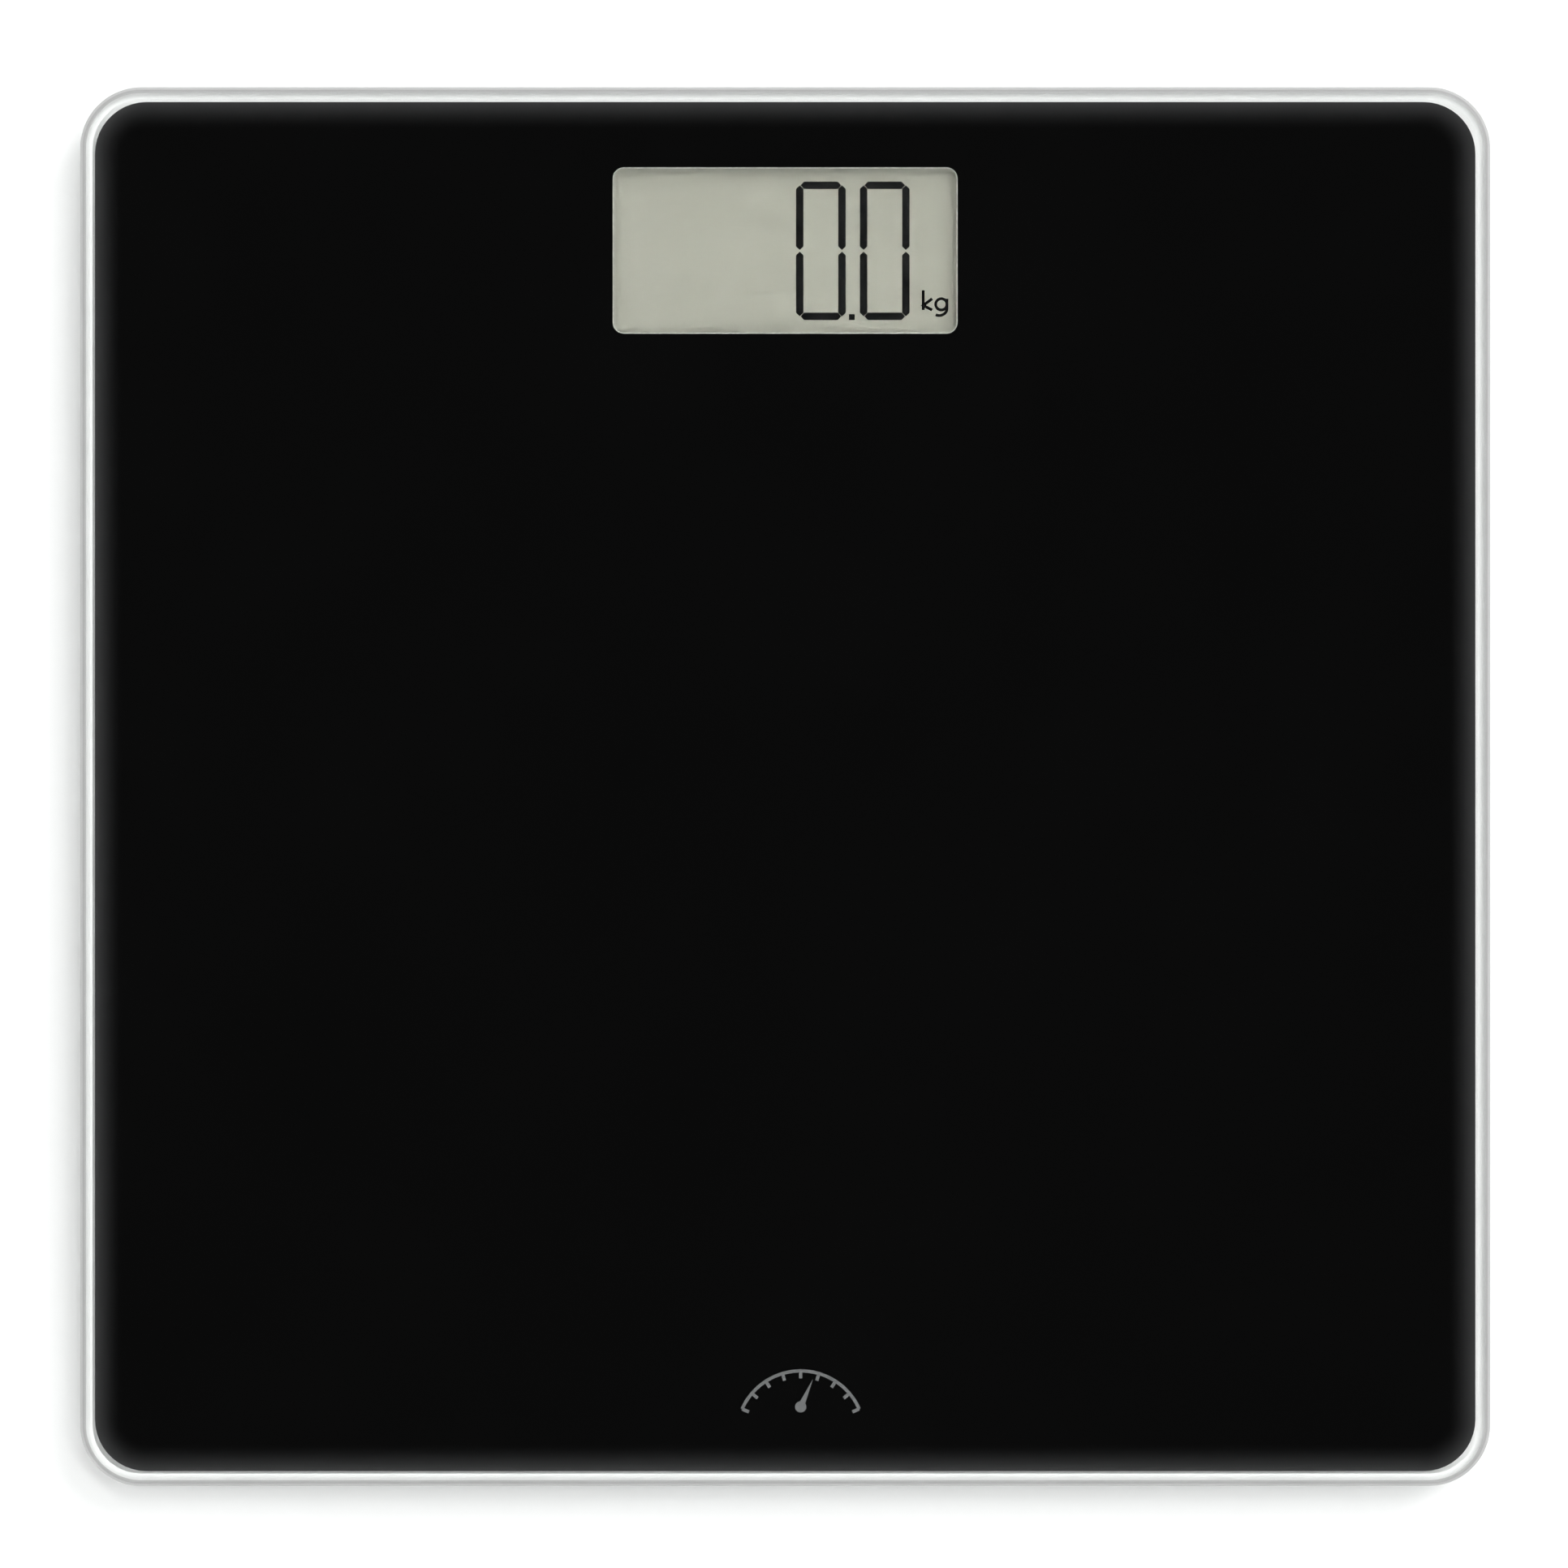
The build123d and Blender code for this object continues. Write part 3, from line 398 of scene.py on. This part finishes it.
def circuit_board():
    """Green solder mask over copper tracks."""
    material, tree, surface = new_material("board_green")
    tracks = add(tree, "ShaderNodeTexBrick", {
        "Vector": object_point(tree),
        "Scale": 1 / (18 * MM),
        "Color1": (0.012, 0.11, 0.045, 1),
        "Color2": (0.014, 0.13, 0.052, 1),
        "Mortar": (0.05, 0.24, 0.10, 1),
        "Mortar Size": 0.03,
    })
    mask = noise(tree, 2 * MM, detail=3)
    feed(tree, surface, {
        "Base Color": tracks.outputs["Color"],
        "Roughness": spread(tree, mask, 0.22, 0.36),
        "Normal": bump(tree, tracks.outputs["Fac"], 0.03 * MM),
    })
    return material


def lead_insulation():
    """Three cores, each in its own colour."""
    material, tree, surface = new_material("lead")
    island = add(tree, "ShaderNodeNewGeometry").outputs["Random Per Island"]
    red, black, white = (0.35, 0.012, 0.01), (0.02, 0.02, 0.022), (0.62, 0.62, 0.60)
    skin = noise(tree, 1.5 * MM, detail=3)
    feed(tree, surface, {
        "Base Color": tone_ramp(
            tree, island, ((0.0, red), (0.33, black), (0.66, white)), interpolation="CONSTANT"
        ),
        "Roughness": spread(tree, skin, 0.38, 0.5),
    })
    return material


def make_materials():
    """One material for each slot of the record, apart from the platform's glass."""
    return {
        "black_print": black_print(),
        "mark_print": grey_print(),
        "foam_tape": foam("foam_tape", (0.03, 0.03, 0.03)),
        "gasket_foam": foam("gasket_foam", (0.33, 0.33, 0.302)),
        "holder_abs": plastic("holder_abs", (0.62, 0.63, 0.61), 0.5),
        "housing_abs": plastic("housing_abs", (0.040, 0.041, 0.043), 0.42, grain_depth=0.04),
        "lcd_film": pane("lcd_film", (0.985, 0.985, 0.98), 0.0008, 0.1),
        "lcd_glass": pane("lcd_glass", (0.99, 0.99, 0.985), 0.0005, 0.1),
        "lcd_black": crystal_black(),
        "lcd_backing": reflector("lcd_backing", (0.350, 0.346, 0.305)),
        "zebra": rubber("zebra", (0.45, 0.24, 0.22)),
        "board_green": circuit_board(),
        "epoxy": plastic("epoxy", (0.012, 0.012, 0.013), 0.25, grain_size=2.0),
        "component": plastic("component", (0.16, 0.13, 0.10), 0.4, mottle=0.4),
        "steel": metal("steel", (0.62, 0.62, 0.61), 0.3),
        "cell_can": metal("cell_can", (0.72, 0.72, 0.71), 0.22, scratch_size=1.2),
        "contact": metal("contact", (0.75, 0.72, 0.62), 0.3, stretch=(1, 0.1, 1)),
        "button_rubber": plastic("button_rubber", (0.30, 0.31, 0.31), 0.5),
        "switch": plastic("switch", (0.015, 0.015, 0.015), 0.45),
        "cell_steel": metal("cell_steel", (0.63, 0.63, 0.62), 0.35, stretch=(1, 0.08, 1)),
        "potting": rubber("potting", (0.70, 0.70, 0.68), roughness=0.5),
        "pad_rubber": rubber("pad_rubber", (0.012, 0.012, 0.0125), bloom=0.01),
        "lead": lead_insulation(),
    }


# ---- glass platform ----

def corner_outline(half_x, half_y, radius):
    """Points round a rectangle with round corners, anticlockwise."""
    points = []
    for quarter, (sign_x, sign_y) in enumerate(((1, 1), (-1, 1), (-1, -1), (1, -1))):
        centre = Vector((sign_x * (half_x - radius), sign_y * (half_y - radius)))
        for step in range(CORNER_STEPS + 1):
            angle = QUARTER_TURN * (quarter + step / CORNER_STEPS)
            points.append(centre + radius * Vector((math.cos(angle), math.sin(angle))))
    return points


def rim_profile(bottom, top):
    """How far in from the widest outline, and how high, each ring of the rim stands."""
    angles = [QUARTER_TURN * step / RIM_STEPS for step in range(RIM_STEPS + 1)]
    lower = [
        (LOWER_RIM_WIDTH * (1 - math.sin(angle)), bottom + RIM_HEIGHT * (1 - math.cos(angle)))
        for angle in angles
    ]
    upper = [
        (TOP_RIM_WIDTH * (1 - math.cos(angle)), top - RIM_HEIGHT * (1 - math.sin(angle)))
        for angle in angles
    ]
    return lower + upper


def make_glass():
    """The platform's glass, with smooth ground rims and flat polished faces."""
    half = (glass_high - glass_low) / 2
    mesh = bpy.data.meshes.new("platform_glass")
    build = bmesh.new()
    rings = []
    for inset, height in rim_profile(glass_low.z - INK_BITE, glass_high.z):
        outline = corner_outline(half.x - inset, half.y - inset, GLASS_CORNER - inset)
        rings.append([build.verts.new((point.x, point.y, height)) for point in outline])
    for lower, upper in zip(rings, rings[1:]):
        for index in range(len(lower)):
            after = (index + 1) % len(lower)
            face = build.faces.new((lower[index], lower[after], upper[after], upper[index]))
            face.smooth = True
            face.material_index = 1
    build.faces.new(list(reversed(rings[0])))
    build.faces.new(rings[-1])
    build.to_mesh(mesh)
    build.free()
    mesh.materials.append(polished_glass())
    mesh.materials.append(ground_glass())
    glass = bpy.data.objects.new("platform_glass", mesh)
    bpy.context.scene.collection.objects.link(glass)
    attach(glass, "platform")
    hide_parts("glass_platform")


# ---- dress the CAD nodes ----

def dress_nodes(materials):
    for subpart in frame["record"]["subparts"]:
        if subpart["material_slot"] in materials:
            mesh = frame["nodes"][subpart["node"]].data
            mesh.materials.clear()
            mesh.materials.append(materials[subpart["material_slot"]])
    # The rear glass shows the reflector's grey-green right behind the segments.
    frame["nodes"]["lcd_rear_glass"].data.materials[0] = materials["lcd_backing"]


# ---- studio ----

def make_camera():
    """Straight above the middle of the platform, through a long lens."""
    data = bpy.data.cameras.new("camera")
    data.sensor_width = SENSOR_WIDTH
    data.lens = SENSOR_WIDTH * CAMERA_HEIGHT / PICTURE_WIDTH
    camera = bpy.data.objects.new("camera", data)
    camera.location = AIM + Vector((0, 0, CAMERA_HEIGHT))
    bpy.context.scene.collection.objects.link(camera)
    bpy.context.scene.camera = camera


def make_lamp(name, place, size, power):
    """A square soft box that faces the object."""
    data = bpy.data.lights.new(name, "AREA")
    data.shape = "RECTANGLE"
    data.size = data.size_y = size
    data.energy = power
    lamp = bpy.data.objects.new(name, data)
    lamp.location = place
    lamp.rotation_euler = (LAMP_TARGET - Vector(place)).to_track_quat("-Z", "Y").to_euler()
    bpy.context.scene.collection.objects.link(lamp)


def make_lamps():
    """A key lamp to the back right, and four small ones round the camera's line of sight."""
    make_lamp("key", KEY_PLACE, KEY_SIZE, KEY_POWER)
    for side, (x, y) in enumerate(((1, 0), (0, 1), (-1, 0), (0, -1))):
        place = (OVERHEAD_REACH * x, OVERHEAD_REACH * y, OVERHEAD_HEIGHT)
        make_lamp(f"overhead_{side}", place, OVERHEAD_SIZE, OVERHEAD_POWER)


def make_world():
    """A studio with pale walls and a dark ceiling."""
    world = bpy.data.worlds.new("studio")
    world.use_nodes = True
    tree = world.node_tree
    direction = add(tree, "ShaderNodeTexCoord").outputs["Generated"]
    room = tone_ramp(tree, split_axes(tree, direction)["Z"], (WALLS, CEILING))
    feed(tree, tree.nodes["Background"], {"Color": room})
    bpy.context.scene.world = world


def make_floor():
    """A plain pale floor under the feet."""
    mesh = bpy.data.meshes.new("studio_floor")
    build = bmesh.new()
    bmesh.ops.create_grid(build, x_segments=1, y_segments=1, size=FLOOR_HALF_SIZE)
    build.to_mesh(mesh)
    build.free()
    material, tree, surface = new_material("floor")
    cloud = noise(tree, 0.5, detail=2)
    feed(tree, surface, {
        "Base Color": two_tone(tree, cloud, FLOOR_DARK, FLOOR_LIGHT),
        "Roughness": 0.9,
        "Specular IOR Level": 0.0,
    })
    mesh.materials.append(material)
    floor = bpy.data.objects.new("studio_floor", mesh)
    bpy.context.scene.collection.objects.link(floor)


make_glass()
dress_nodes(make_materials())
make_camera()
make_lamps()
make_world()
make_floor()
bpy.context.scene.view_settings.view_transform = "Standard"
